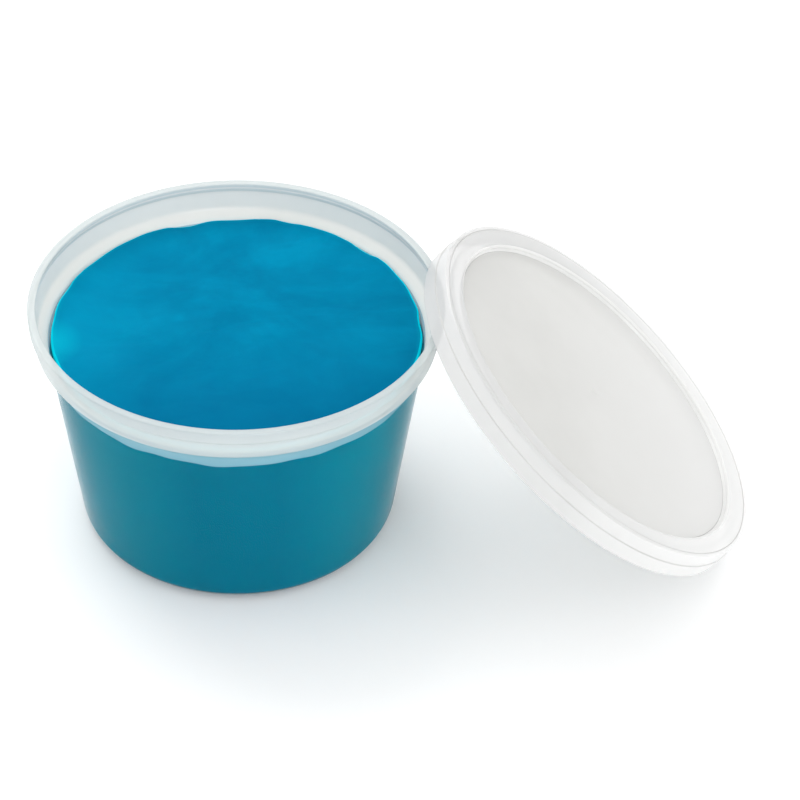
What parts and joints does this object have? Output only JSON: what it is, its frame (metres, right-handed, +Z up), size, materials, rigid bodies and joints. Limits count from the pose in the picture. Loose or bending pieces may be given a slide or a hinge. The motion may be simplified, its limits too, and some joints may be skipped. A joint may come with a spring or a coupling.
{
  "type": "tub of detailing clay",
  "caption": "Round translucent plastic tub filled with one mass of blue detailing clay, with its press-fit lid leaning on the rim; the clay and the lid lift away.",
  "frame": {"origin": "middle of the whole footprint's bounding box, on the surface that the tub and the lid's low edge stand on", "axes": "+X from the tub towards the low edge of the leaning lid, +Y away from the viewer, +Z up out of the tub"},
  "size_m": [0.2072, 0.1244, 0.083],
  "materials": {
    "tub_plastic": "satin natural polypropylene, milky translucent",
    "clay": "waxy blue putty with soft mottling, satin",
    "lid_plastic": "satin natural polypropylene, milky translucent"
  },
  "bodies": {
    "tub": {"tub": "tub_plastic"},
    "clay": {"clay_bar": "clay"},
    "lid": {"lid": "lid_plastic"}
  },
  "joints": [
    {"name": "clay_lift", "type": "slide", "parent": "tub", "child": "clay", "axis": [0, 0, 1], "range_m": [0, 0.09]},
    {"name": "lid_lift", "type": "slide", "parent": "tub", "child": "lid", "axis": [0, 0, 1], "range_m": [0, 0.09]}
  ]
}
